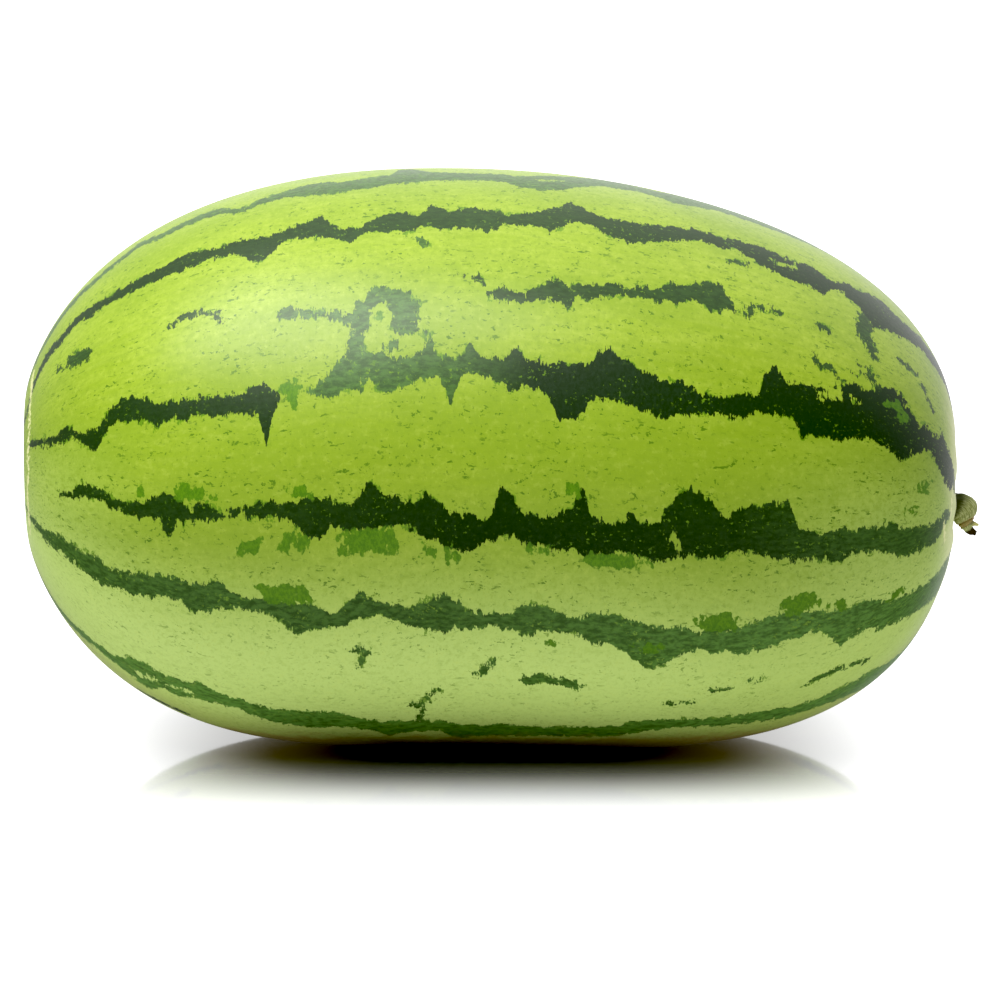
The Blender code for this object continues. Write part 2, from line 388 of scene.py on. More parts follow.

# %% [markdown]
# ## Where the stripes run
#
# On the plant each stripe follows a vein of the rind from the flower's scar to the stem. Its edges are
# ragged, and no two stripes match, so a formula can't give them: they are listed like a map.
# Each point of a stripe is the distance along the rind from the widest girth in mm, and the angles of its
# lower and upper edge, measured up round the fruit from the middle of the side that faces the camera.

# %% The stripes on the side that faces the camera
STRIPES = {
    "top": [
        (-205, 72, 80), (-175, 74, 82), (-150, 76, 83), (-137, 75, 79), (-127, 76, 80), (-118, 78, 82),
        (-108, 75, 79), (-92, 76, 80), (-84, 75, 80), (-75, 72, 74), (-68, 74, 78), (-60, 75, 79),
        (-53, 74, 81), (-45, 73, 82), (-37, 73, 80), (-22, 75, 82), (-18, 76, 83), (-15, 76, 91),
        (-11, 76, 91), (-3, 77, 85), (8, 78, 84), (23, 78, 84), (30, 75, 83), (38, 74, 86), (45, 75, 88),
        (53, 79, 90), (61, 82, 94), (68, 82, 94), (76, 84, 92), (84, 81, 90), (91, 80, 93), (99, 82, 93),
        (107, 84, 94), (123, 84, 93), (139, 86, 94), (152, 90, 95), (185, 89, 97), (225, 80, 100)],
    "upper": [
        (-214, 34, 42), (-187, 42, 47), (-182, 50, 57), (-174, 55, 61), (-166, 57, 63), (-159, 56, 62),
        (-152, 58, 62), (-146, 59, 63), (-140, 57, 61), (-130, 57, 60), (-116, 56, 60), (-107, 56, 60),
        (-98, 56, 62), (-90, 57, 61), (-82, 57, 60), (-74, 56, 61), (-68, 52, 60), (-64, 53, 60),
        (-59, 57, 61), (-52, 58, 62), (-44, 57, 64), (-36, 56, 59), (-33, 54, 59), (-29, 57, 59),
        (-22, 57, 62), (-14, 57, 63), (-10, 57, 63), (-7, 58, 61), (-3, 59, 66), (0, 57, 65), (4, 58, 63),
        (12, 58, 65), (19, 57, 64), (23, 59, 64), (26, 60, 63), (30, 60, 63), (38, 60, 65), (41, 58, 66),
        (45, 60, 67), (49, 62, 70), (56, 62, 67), (60, 61, 66), (64, 59, 65), (71, 58, 65), (82, 60, 66),
        (90, 62, 67), (98, 64, 68), (105, 63, 67), (113, 64, 68), (117, 62, 68), (121, 61, 69),
        (129, 60, 68), (137, 59, 68), (141, 60, 69), (146, 58, 68), (149, 62, 66), (154, 64, 68),
        (158, 62, 70), (162, 61, 70), (167, 56, 72), (172, 58, 74), (182, 61, 72), (189, 63, 73),
        (196, 66, 77), (204, 66, 78), (213, 68, 84), (226, 66, 82), (240, 64, 80)],
    "short": [
        (6, 45, 45), (13, 44, 45), (16, 43, 45), (18, 40, 41), (23, 39, 42), (26, 39, 42), (30, 39, 41),
        (34, 39, 42), (38, 40, 43), (41, 40, 45), (45, 40, 45), (48, 38, 44), (50, 41, 44), (56, 41, 45),
        (60, 42, 45), (67, 43, 46), (71, 43, 45), (74, 43, 46), (82, 43, 46), (86, 44, 49), (88, 43, 48),
        (93, 45, 49), (97, 45, 50), (101, 43, 51), (105, 43, 51), (107, 45, 49), (110, 44, 46)],
    "middle left": [
        (-186, 18, 21), (-182, 18, 22), (-175, 17, 20), (-168, 16, 19), (-158, 16, 19), (-154, 16, 21),
        (-149, 17, 20), (-144, 15, 18),
        (-134, 12, 18), (-132, 15, 19), (-128, 18, 23), (-123, 19, 24), (-118, 19, 25), (-109, 18, 23),
        (-106, 16, 22), (-104, 18, 22), (-97, 18, 22), (-88, 18, 22), (-73, 18, 22), (-67, 18, 23),
        (-65, 18, 24), (-64, 11, 24), (-62, 11, 23), (-61, 17, 22), (-58, 20, 21)],
    "middle right": [
        (-49, 21, 21), (-43, 20, 23), (-39, 20, 25), (-36, 20, 27), (-32, 22, 28), (-25, 23, 28),
        (-21, 21, 28), (-18, 20, 27), (-14, 21, 27), (-10, 22, 27), (-6, 23, 28), (-3, 23, 30),
        (1, 23, 27), (4, 19, 27), (6, 18, 27), (8, 23, 27), (12, 24, 30), (16, 24, 27), (19, 23, 27),
        (23, 22, 27), (26, 21, 28), (29, 21, 30), (32, 22, 27), (38, 21, 27), (41, 20, 26), (44, 16, 27),
        (48, 16, 27), (53, 17, 27), (56, 20, 27), (59, 20, 30), (63, 21, 31), (67, 20, 29), (70, 20, 29),
        (74, 19, 27), (82, 18, 26), (89, 19, 26), (96, 20, 24), (104, 20, 24), (112, 20, 25),
        (119, 22, 26), (121, 22, 31), (126, 22, 33), (129, 22, 30), (133, 22, 30), (135, 18, 30),
        (143, 19, 30), (152, 18, 32), (156, 20, 34), (165, 20, 33), (170, 19, 36), (174, 18, 37),
        (180, 16, 37), (185, 18, 34), (191, 20, 28), (198, 22, 38), (202, 19, 39), (206, 15, 35),
        (211, 12, 30), (218, 7, 25), (227, 8, 18), (248, 8, 16)],
    "centre": [
        (-156, -2, -1), (-149, -2, 0), (-147, -2, 1), (-143, -1, 3), (-139, -1, 3), (-131, -1, 2),
        (-128, -3, 0),
        (-123, -3, -1), (-118, -4, -1), (-109, -4, 0), (-105, -4, 2), (-103, -8, 2), (-100, -7, 2),
        (-98, -4, 1), (-93, -4, -1), (-88, -4, 0), (-79, -3, -2), (-73, -3, -1), (-65, -3, 0), (-58, -3, 0),
        (-52, -4, 0), (-49, -7, 1), (-43, -7, 1), (-39, -5, 0), (-32, -6, -1), (-29, -6, 1), (-26, -6, 3),
        (-24, -6, 3), (-21, -5, 1), (-14, -5, 0), (-8, -6, -1), (-5, -8, 1), (0, -8, 0), (5, -10, -3),
        (14, -10, -3), (16, -9, -4), (20, -8, -3), (22, -8, 1), (23, -7, 3), (25, -7, 2), (28, -7, 1),
        (30, -8, -2), (38, -9, -3), (45, -9, -2), (50, -9, -1), (52, -10, 3), (54, -10, 3), (56, -10, -2),
        (60, -10, -3), (67, -9, -3), (72, -9, -1), (74, -10, -3), (82, -10, -3), (84, -10, 1), (86, -10, 2),
        (89, -9, 4), (93, -9, 5), (97, -9, 4), (102, -9, 2), (106, -9, -1), (110, -8, 1), (117, -8, 2),
        (125, -9, 3), (131, -10, 4), (134, -10, -2), (144, -10, -4), (152, -11, -3), (161, -9, -3),
        (170, -10, -3), (175, -11, -2), (184, -14, -5), (196, -14, -6), (204, -15, -6), (209, -13, -5),
        (214, -10, -3), (222, -7, -4)],
    "lower": [
        (-212, -24, -20), (-186, -24, -20), (-174, -25, -20), (-166, -25, -18), (-158, -24, -17),
        (-145, -24, -18), (-140, -25, -18), (-134, -26, -18), (-129, -25, -20), (-119, -25, -19),
        (-110, -24, -18), (-106, -23, -17), (-97, -23, -18), (-93, -25, -18), (-89, -25, -18),
        (-85, -24, -17), (-81, -23, -17), (-78, -23, -19), (-70, -23, -20), (-62, -24, -20),
        (-58, -25, -20), (-55, -27, -21), (-51, -28, -21), (-47, -27, -21), (-40, -26, -23),
        (-36, -26, -22), (-32, -25, -20), (-29, -24, -18), (-25, -24, -20), (-18, -24, -21),
        (-10, -26, -22), (-7, -27, -21), (-1, -27, -20), (3, -28, -19), (6, -27, -20), (12, -27, -23),
        (20, -26, -23), (27, -27, -23), (31, -28, -21), (38, -27, -21), (46, -27, -23), (53, -27, -23),
        (56, -29, -23), (60, -29, -22), (64, -29, -22), (68, -30, -23), (75, -34, -24), (79, -36, -25),
        (83, -35, -25), (90, -32, -25), (98, -30, -26), (101, -32, -25), (109, -31, -25), (113, -33, -25),
        (119, -32, -24), (127, -31, -23), (132, -30, -22), (143, -29, -23), (149, -31, -24),
        (155, -37, -24), (158, -34, -24), (168, -34, -24), (172, -36, -26), (184, -38, -28),
        (196, -42, -30), (204, -46, -32), (216, -58, -35), (228, -58, -38), (246, -58, -42)],
    "bottom": [
        (-200, -74, -66), (-163, -69, -62), (-149, -62, -57), (-137, -59, -55), (-130, -59, -54),
        (-122, -60, -49), (-114, -62, -48), (-108, -57, -49), (-100, -57, -49), (-92, -55, -47),
        (-83, -55, -50), (-76, -55, -50), (-68, -58, -52), (-60, -59, -52), (-45, -60, -52),
        (-37, -59, -52), (-30, -60, -55), (-22, -62, -56), (-19, -65, -56), (-15, -62, -56), (1, -61, -56),
        (5, -65, -57), (8, -66, -58), (16, -64, -58), (24, -64, -57), (39, -63, -58), (62, -63, -57),
        (69, -62, -56), (77, -60, -54), (92, -58, -54), (107, -59, -55), (123, -61, -55), (131, -62, -56),
        (148, -63, -57), (157, -65, -56), (164, -68, -56), (172, -74, -57), (188, -74, -64),
        (201, -74, -68), (240, -80, -70)],
}

print(len(STRIPES), "stripes,", sum(len(route) for route in STRIPES.values()), "points")

# %% [markdown]
# The stripes are not one green: those near the belly are paler. The top stripe is paler also as a
# painted sheen where light glances off it, and the middle right stripe and the loose marks are paler
# near the highlight as a painted highlight. How pale each is along its way is given as distance along
# and a share, where 0 is the deepest green. The loose marks have such a row as well.

# %% How pale each stripe is
# The top stripe's share is partly painted sheen, and the middle right one's pale start is a painted
# highlight.
PALENESS = {
    "top": [(0, 0.5)],
    "upper": [(-120, 0.05), (20, 0.15), (140, 0.0)],
    "short": [(0, 0.15)],
    "middle left": [(0, 0.05)],
    "middle right": [(-30, 0.5), (5, 0.4), (35, 0.0)],
    "centre": [(-60, 0.1), (20, 0.03), (110, 0.08), (170, 0.4)],
    "lower": [(0, 0.45), (120, 0.75)],
    "bottom": [(0, 1.0)],
}
FAR_PALENESS = [(0, 0.3)]
# Marks near the highlight are paler: a painted highlight.
MARK_PALENESS = [(-80, 0.2), (-45, 0.5), (0, 0.5), (60, 0.2)]
LOW_MARK_ANGLE = -30
LOW_MARK_PALENESS = 0.6
print("paleness is set for", ", ".join(PALENESS))

# %% [markdown]
# Between the stripes there are loose marks of the same dark green: a loop, an arc, twigs and dashes. Each
# is a line with a half width in mm through points of distance along and angle. Holes are light islands
# inside the dark, and patches are the half-ripe green that lies beside many stripes, as ovals: distance
# along, angle, half length and half height. Two short cream lines mark old scars near the stem, and the
# long one near the blossom end is a painted highlight along the rim.

# %% Loose marks, holes and patches
MARKS = [
    (2.7, [(-30, 22), (-30, 29), (-29, 34), (-27, 38)]),
    (3.0, [(-26, 38), (-22, 41), (-17, 40)]),
    (4.8, [(-14, 39), (-12, 36), (-12, 34)]),
    (1.2, [(-13, 31), (-18, 29)]),
    (0.9, [(-3, 27), (-4, 32)]),
    (1.6, [(-27, 35), (-36, 36), (-43, 37), (-52, 38)]),
    (2.6, [(-57, 38), (-55, 38)]),
    (1.3, [(-14, 40), (-8, 38)]),
    (1.2, [(-101, 40), (-97, 42), (-89, 42), (-83, 41), (-81, 39)]),
    (1.2, [(-7, 55), (-5, 53)]),
    (1.4, [(114, 44), (118, 47), (124, 48), (127, 47)]),
    (1.2, [(108, 59), (119, 60)]),
    (1.4, [(143, 47), (148, 47)]),
    (1.2, [(141, 38), (144, 36)]),
    (3.4, [(164, 57), (163, 52), (165, 49)]),
    (1.9, [(165, 49), (168, 45)]),
    (0.8, [(180, 49.5), (190, 49)]),
    (0.9, [(193, 46), (197, 42), (202, 37), (206, 32)]),
    (0.9, [(157, 37), (165, 37.5), (172, 35), (178, 31)]),
    (0.8, [(160, 40), (168, 39)]),
    (1.0, [(147, 36.5), (152, 34)]),
    (3.2, [(-150, 44), (-141, 42)]),
    (1.3, [(-159, 45), (-157, 44)]),
    (1.3, [(-32, -32), (-27, -32), (-29, -36)]),
    (1.3, [(15, -39), (18, -37), (21, -35)]),
    (2.4, [(33, -40), (38, -39), (46, -40), (52, -41)]),
    (1.2, [(-7, -56), (-7, -50), (-10, -49)]),
    (1.1, [(-7, -50), (-4, -46), (0, -43)]),
    (1.1, [(85, -47), (97, -47)]),
    (1.2, [(103, -43), (109, -43)]),
    (1.1, [(118, -41), (122, -41)]),
    (1.4, [(142, -47), (147, -46), (153, -45), (160, -46), (168, -48)]),
]
HOLES = [
    (1.3, [(127, 64), (135, 65)]),
    (1.2, [(38, 81), (46, 82)]),
    (1.6, [(-118, -56), (-111, -54)]),
    (0.9, [(-105, -54), (-96, -53)]),
    (2.2, [(144, 29), (151, 30)]),
    (4.2, [(186, 36), (203, 33)]),
    (0.6, [(81, -4), (84, -6)]),
    (0.6, [(87, -5), (90, -8)]),
    (0.8, [(157, 30), (161, 29)]),
]
# The first line is a painted rim highlight; the other two are scars.
CREAM_SCARS_AND_RIM_HIGHLIGHT = [
    (1.3, [(-182, 70), (-184, 38), (-186, 18), (-187, 0), (-188, -17), (-187, -36)]),
    (1.1, [(222, 8), (222, -10)]),
    (1.0, [(213, -9), (216, -19)]),
]
PATCHES = [
    (-21, 36, 2, 2), (193, 8, 4, 1.5), (187, 1, 3, 1.5), (200, 11, 2, 1), (-54, 21, 3, 4), (-114, 2, 2, 3),
    (-93, 2, 7, 3), (-50, 2, 4, 2), (-70, -9, 4, 3), (-57, -9, 3, 2),
    (-54, -7, 2, 2), (-49, -8, 2, 3), (-57, -19, 9, 4), (-25, -8, 10, 5), (-3, -10, 3, 3),
    (6, -11, 2, 3), (36, -9, 4, 2), (66, -11, 9, 3), (50, 3, 2, 2), (43, -30, 3, 1.5), (79, -30, 4, 2),
    (104, -24, 7, 4), (136, -21, 7, 4), (154, -23, 3, 2), (180, -26, 4, 2), (176, 32, 4, 2),
    (182, 29, 3, 2),
]
print(len(MARKS), "marks,", len(HOLES), "holes,", len(PATCHES), "patches")

# %% [markdown]
# The far side was not seen, so its stripes are drawn by chance in the same manner: each wanders round its
# own angle, swells into lobes and throws spikes, with a loose mark and a few half-ripe patches beside it.
# The random numbers start from a fixed seed, so the fruit is the same every time.

# %% The stripes on the far side
HIDDEN_ANGLES = (108, 133, 156, 181, 206, 229, 254, 279)
HIDDEN_SPAN = (-212.0, 246.0, 4.5)
SEED = 41
SPIKES = 7
SPIKE_DEGREES = (2.0, 6.0)
PATCHES_A_STRIPE = 3
draw = np.random.default_rng(SEED)


def wander(steps, size, smooth):
    """A smooth random line of that many steps around zero."""
    line = draw.normal(0.0, 1.0, steps + 2 * smooth)
    line = np.convolve(line, np.hanning(smooth + 2)[1:-1], mode="valid")[:steps]
    return size * (line - line.mean()) / (line.std() + 1e-9)


for number, angle in enumerate(HIDDEN_ANGLES):
    reach = np.arange(*HIDDEN_SPAN)
    steps = len(reach)
    middle = angle + wander(steps, 2.2, 22)
    half_width = np.clip(2.7 + wander(steps, 0.8, 12), 1.2, 5.0)
    lower_edge = middle - half_width + wander(steps, 0.7, 3)
    upper_edge = middle + half_width + wander(steps, 0.7, 3)
    for _ in range(SPIKES):
        at = draw.integers(4, steps - 4)
        if draw.random() < 0.5:
            upper_edge[at] += draw.uniform(*SPIKE_DEGREES)
        else:
            lower_edge[at] -= draw.uniform(*SPIKE_DEGREES)
    STRIPES[f"far {number + 1}"] = list(zip(reach, lower_edge, upper_edge))
    at, far_angle = draw.uniform(-120, 150), angle + draw.uniform(9, 13)
    MARKS.append((draw.uniform(1.3, 2.4), [(at, far_angle), (at + draw.uniform(6, 20), far_angle + 1)]))
    for _ in range(PATCHES_A_STRIPE):
        at = draw.integers(4, steps - 4)
        PATCHES.append((reach[at], lower_edge[at] - 0.5, draw.uniform(3, 8), draw.uniform(2, 4)))
print(len(STRIPES), "stripes in all")

# %% [markdown]
# The stripes are carried by the points of the skin. Each point learns how many mm it lies inside the
# nearest stripe, patch or cream line, where a negative number is outside, and how pale its stripe is. The
# rind's material turns these measures into ragged edges.

# %% Measures of stripes, marks and patches
angle_degrees = np.degrees(turn_angle)
radius_mm = radius / MM
LIMIT = 12.0


def angle_from(centre):
    """Angle of every point from a centre angle, the short way round, in degrees."""
    return (angle_degrees - centre + 180.0) % 360.0 - 180.0


def depth_in_stripe(route):
    """How deep each point lies inside a stripe in mm; outside it is negative."""
    at, lower_edge, upper_edge = np.array(route, dtype=float).T
    low, high = np.interp(along, at, lower_edge), np.interp(along, at, upper_edge)
    middle = (low + high) / 2
    off = np.abs(angle_from(middle))
    inside = np.radians((high - low) / 2 - off) * radius_mm
    beyond = np.maximum(at[0] - along, along - at[-1])
    return np.where(beyond > 0, np.minimum(inside, -beyond), inside)


def depth_in_mark(half_width, route):
    """The same for a line of a given half width."""
    best = np.full(count, -1e9)
    for (a1, t1), (a2, t2) in zip(route, route[1:]):
        x, y = along - a1, np.radians(angle_from(t1)) * radius_mm
        dx, dy = a2 - a1, np.radians(t2 - t1) * radius_mm
        share = np.clip((x * dx + y * dy) / (dx * dx + dy * dy + 1e-9), 0.0, 1.0)
        best = np.maximum(best, half_width - np.hypot(x - share * dx, y - share * dy))
    return best


def depth_in_patch(at, angle, half_length, half_height):
    """The same for an oval patch."""
    x, y = (along - at) / half_length, np.radians(angle_from(angle)) * radius_mm / half_height
    return (1.0 - (x ** 4 + y ** 4) ** 0.25) * min(half_length, half_height)


print("each of", count, "points is measured to", LIMIT, "mm")

# %% Measure every point of the skin
mark_along, mark_share = np.array(MARK_PALENESS, dtype=float).T
dark = np.full(count, -LIMIT)
pale = np.zeros(count)
for name, route in STRIPES.items():
    depth = depth_in_stripe(route)
    at, share = np.array(PALENESS.get(name, FAR_PALENESS), dtype=float).T
    pale = np.where(depth > dark, np.interp(along, at, share), pale)
    dark = np.maximum(dark, depth)
for half_width, route in MARKS:
    depth = depth_in_mark(half_width, route)
    # Marks near the highlight get a painted highlight through their paleness.
    tone = np.interp(route[0][0], mark_along, mark_share)
    tone = LOW_MARK_PALENESS if route[0][1] < LOW_MARK_ANGLE else tone
    pale = np.where(depth > dark, tone, pale)
    dark = np.maximum(dark, depth)
for half_width, route in HOLES:
    dark = np.minimum(dark, -depth_in_mark(half_width, route))
half_ripe = np.full(count, -LIMIT)
for patch in PATCHES:
    half_ripe = np.maximum(half_ripe, depth_in_patch(*patch))
cream = np.full(count, -LIMIT)
for half_width, route in CREAM_SCARS_AND_RIM_HIGHLIGHT:
    cream = np.maximum(cream, depth_in_mark(half_width, route))

girth_mm = GIRTH_RADIUS / MM
skin = np.stack([along, girth_mm * np.cos(turn_angle), girth_mm * np.sin(turn_angle)], axis=1)
for name, values in (("stripe", dark), ("patch", half_ripe), ("cream", cream), ("paleness", pale)):
    layer = fruit_mesh.attributes.new(name, "FLOAT", "POINT")
    layer.data.foreach_set("value", np.clip(values, -LIMIT, LIMIT))
layer = fruit_mesh.attributes.new("skin", "FLOAT_VECTOR", "POINT")
layer.data.foreach_set("vector", skin.ravel())
print(f"{100 * np.mean(dark > 0):.0f}% of the points are inside a stripe")

# %% [markdown]
# ## The rind
#
# The real rind is a living skin under a thin coat of wax: light yellow-green with dark green stripes, and
# a satin gloss. Its patterns are painted by nodes from the measures above. The "skin" measure gives each
# point its distance along in mm and its place round the fruit, so noise can be squeezed to fine teeth
# across a stripe, or stretched to veins along it, at its real size. Every size below is in mm, and the
# first number of a grain is its length along the fruit.

# %% Colours and measures of the rind
LIGHT_GREEN = linear("#809724")
PALE_GREEN = linear("#8c9f37")
DEEP_GREEN = linear("#6f8820")
BELLY_GREEN_AND_BOUNCE_LIGHT = linear("#afc66f")
HALF_RIPE = linear("#4e7510")
RIPER_GREEN = linear("#40680e")
SPECK_GREEN = linear("#456612")
FLECK_AND_GLINT_GREEN = linear("#a9b650")
UNDERSIDE = linear("#8a9644")
DARK_GREEN = linear("#182a0d")
DARK_BLUE_GREEN = linear("#1a2e14")
PALER_GREEN = linear("#567d34")
CREAM = linear("#c9cb8c")
CORK = linear("#8f7848")
GROUND_YELLOW = linear("#8a7c3a")
HAIR_LENGTH = 5.0
TOOTH_LENGTH = 8.0
# A tone comes or goes between two places, which lie so far up from the axis or along from the girth.
PAINTED_TOP_LIGHT = (20.0, 75.0)
BELLY = (-75.0, -10.0)
BELLY_FADE = (60.0, 170.0)
PALE_ENDS = (100.0, 190.0)
UNDERSIDE_HEIGHT = (-108.0, -88.0)
BLOSSOM_CREAM = (-214.0, -200.0)
STEM_CREAM = (205.0, 228.0)
STRIPES_STOP = (224.0, 238.0)
SCAR_EDGE = (-219.5, -218.0)
SOIL_HEIGHT = (0.005, 0.012)
SATIN = (0.34, 0.42)
WAX_IOR = 1.38

rind, tree, shader = new_material("waxy_watermelon_rind")
skin_at = add_node(tree, "ShaderNodeAttribute", {"attribute_name": "skin"}).outputs["Vector"]
in_stripe = add_node(tree, "ShaderNodeAttribute", {"attribute_name": "stripe"}).outputs["Fac"]
in_patch = add_node(tree, "ShaderNodeAttribute", {"attribute_name": "patch"}).outputs["Fac"]
in_cream = add_node(tree, "ShaderNodeAttribute", {"attribute_name": "cream"}).outputs["Fac"]
paleness = add_node(tree, "ShaderNodeAttribute", {"attribute_name": "paleness"}).outputs["Fac"]
place = add_node(tree, "ShaderNodeTexCoord").outputs["Object"]


def grain(length_mm, width_mm, detail=2.0, roughness=0.5, shift=0.0):
    """Noise whose spots are that long along the fruit and that wide round it."""
    scaled = add_node(
        tree, "ShaderNodeVectorMath", {"operation": "MULTIPLY_ADD"}, _0=skin_at,
        _1=(1 / length_mm, 1 / width_mm, 1 / width_mm), _2=(shift, shift, shift)).outputs["Vector"]
    return add_node(
        tree, "ShaderNodeTexNoise", {}, Vector=scaled, Scale=1.0, Detail=detail,
        Roughness=roughness).outputs["Fac"]


def math_node(operation, a, b, c=0.0):
    """One sum with up to three values."""
    return add_node(tree, "ShaderNodeMath", {"operation": operation}, _0=a, _1=b, _2=c).outputs[0]


def ramp(value, low, high, start=0.0, end=1.0):
    """A soft step: start below low, end above high."""
    return add_node(
        tree, "ShaderNodeMapRange", {"interpolation_type": "SMOOTHSTEP"}, Value=value,
        From_Min=low, From_Max=high, To_Min=start, To_Max=end).outputs["Result"]


def blend(share, first, second):
    """The first colour with that share of the second over it."""
    node = add_node(tree, "ShaderNodeMix", {"data_type": "RGBA"}, _0=share)
    for key, value in ((6, first), (7, second)):
        if isinstance(value, bpy.types.NodeSocket):
            tree.links.new(value, node.inputs[key])
        else:
            node.inputs[key].default_value = value
    return node.outputs[2]


print("rind measures come in as", [node.attribute_name for node in tree.nodes if node.type == "ATTRIBUTE"])

# %% Edges of the stripes and what lies between them
# Hairs under 1 mm wide and teeth 2 to 3 mm wide stand across the edge of each stripe.
hairs = grain(0.7, 3.2, detail=3.0, roughness=0.65)
teeth = grain(2.6, 4.5, detail=3.0, roughness=0.6, shift=31.0)
hair_reach = math_node("MULTIPLY_ADD", hairs, HAIR_LENGTH, -0.5 * HAIR_LENGTH)
tooth_reach = math_node("MULTIPLY_ADD", teeth, TOOTH_LENGTH, -0.5 * TOOTH_LENGTH)
edge = math_node("ADD", in_stripe, math_node("ADD", hair_reach, tooth_reach))
stripe_share = ramp(edge, -0.3, 0.3)

# Light flecks open up inside the stripes, in loose clusters, and more often in the pale ones.
fleck_noise = grain(1.5, 1.5, detail=3.0, roughness=0.6, shift=7.0)
flecks = ramp(math_node("MULTIPLY_ADD", paleness, 0.04, fleck_noise), 0.60, 0.67, 0.0, 0.8)
clusters = ramp(grain(14.0, 8.0, detail=2.0, shift=13.0), 0.46, 0.58, 0.15, 1.0)
open_share = math_node("MULTIPLY", flecks, clusters)
stripe_share = math_node("MULTIPLY", stripe_share, math_node("SUBTRACT", 1.0, open_share))

# Half-ripe green: the mapped patches, and a broken fringe along the stripes.
fringe_noise = grain(6.0, 6.0, detail=3.0, roughness=0.6, shift=51.0)
patch_edge = math_node("ADD", in_patch, tooth_reach)
patch_edge = math_node("ADD", patch_edge, math_node("MULTIPLY_ADD", fringe_noise, 6.0, -3.0))
patch_share = ramp(patch_edge, -0.4, 0.4, 0.0, 0.82)
fringe_edge = math_node("ADD", edge, math_node("MULTIPLY_ADD", fringe_noise, 10.0, -4.2))
fringe = math_node("MULTIPLY", ramp(fringe_edge, 0.8, 1.3), ramp(edge, -3.0, -2.2))
half_ripe_share = math_node("MAXIMUM", patch_share, math_node("MULTIPLY", fringe, 0.75))

# Dots and short dashes of green, 1 to 8 mm long, lie scattered between the stripes.
dashes = ramp(grain(3.8, 1.6, detail=3.0, roughness=0.6, shift=3.0), 0.625, 0.665)
dots = ramp(grain(2.2, 2.0, detail=3.0, roughness=0.65, shift=91.0), 0.605, 0.65)
scatter = ramp(grain(18.0, 12.0, detail=3.0, roughness=0.7, shift=23.0), 0.40, 0.60, 0.2, 1.0)
specks = math_node("MULTIPLY", math_node("MAXIMUM", dashes, dots), scatter)

# Faint veins and clouds run along the fruit, with mottling, granules and streaks between them.
veins = grain(22.0, 2.2, detail=3.0, roughness=0.6, shift=5.0)
mottle = grain(1.1, 1.8, detail=3.0, roughness=0.7, shift=17.0)
granules = grain(3.0, 2.6, detail=2.0, roughness=0.6, shift=61.0)
streaks = grain(3.2, 1.6, detail=3.0, roughness=0.65, shift=71.0)
clouds = grain(45.0, 24.0, detail=3.0, roughness=0.6, shift=37.0)
print("rind has", len(tree.nodes), "nodes so far")

# %% Light ground of the rind
# The ground is lighter on top and deeper green round the middle: painted light from above and painted
# shade on the side that faces the camera. It is pale on the belly and towards both ends, partly its own
# tone and partly painted light bounced and reflected up from the white table. Its texture is fainter on
# the belly, and the underside that the sun never reached is dull.
light = blend(ramp(veins, 0.3, 0.7, 0.0, 0.6), LIGHT_GREEN, PALE_GREEN)
light = blend(ramp(clouds, 0.35, 0.65, 0.0, 0.55), light, DEEP_GREEN)
round_up = add_node(tree, "ShaderNodeSeparateXYZ", {}, Vector=skin_at).outputs["Z"]
# Painted light and shade: deeper green below the top, lighter towards the top.
light = blend(ramp(round_up, *PAINTED_TOP_LIGHT, 0.5, 0.0), light, DEEP_GREEN)
from_girth = add_node(tree, "ShaderNodeSeparateXYZ", {}, Vector=skin_at).outputs["X"]
# The belly is paler: partly its own pale underside, partly painted light bounced and reflected up from the
# white table.
belly = math_node(
    "MULTIPLY", ramp(round_up, *BELLY, 0.88, 0.0), ramp(from_girth, *BELLY_FADE, 1.0, 0.55))
light = blend(belly, light, BELLY_GREEN_AND_BOUNCE_LIGHT)
# Towards both ends the lower side is paler too, partly its own tone and partly painted light reflected from
# the white table.
end_pale_and_bounce_light = ramp(math_node("ABSOLUTE", from_girth, 0.0), *PALE_ENDS, 0.0, 0.4)
light = blend(math_node("MULTIPLY", end_pale_and_bounce_light, ramp(round_up, -20.0, 50.0, 1.0, 0.0)), light, BELLY_GREEN_AND_BOUNCE_LIGHT)
light = blend(ramp(round_up, *UNDERSIDE_HEIGHT, 0.8, 0.0), light, UNDERSIDE)
texture = ramp(round_up, -70.0, 0.0, 0.35, 1.0)
light = blend(math_node("MULTIPLY", ramp(mottle, 0.48, 0.72, 0.0, 0.5), texture), light, DEEP_GREEN)
light = blend(math_node("MULTIPLY", ramp(granules, 0.32, 0.5, 0.4, 0.0), texture), light, DEEP_GREEN)
# Light yellow-green flecks: partly the rind's own specks, partly painted glints on its tiny bumps.
light = blend(ramp(granules, 0.54, 0.72, 0.0, 0.15), light, FLECK_AND_GLINT_GREEN)
light = blend(ramp(mottle, 0.26, 0.42, 0.2, 0.0), light, FLECK_AND_GLINT_GREEN)
specks = math_node("MULTIPLY", specks, ramp(round_up, -80.0, -20.0, 0.45, 0.9))
light = blend(specks, light, SPECK_GREEN)
half_ripe_tone = blend(ramp(mottle, 0.4, 0.6), HALF_RIPE, RIPER_GREEN)
light = blend(half_ripe_share, light, half_ripe_tone)
print("rind has", len(tree.nodes), "nodes so far")

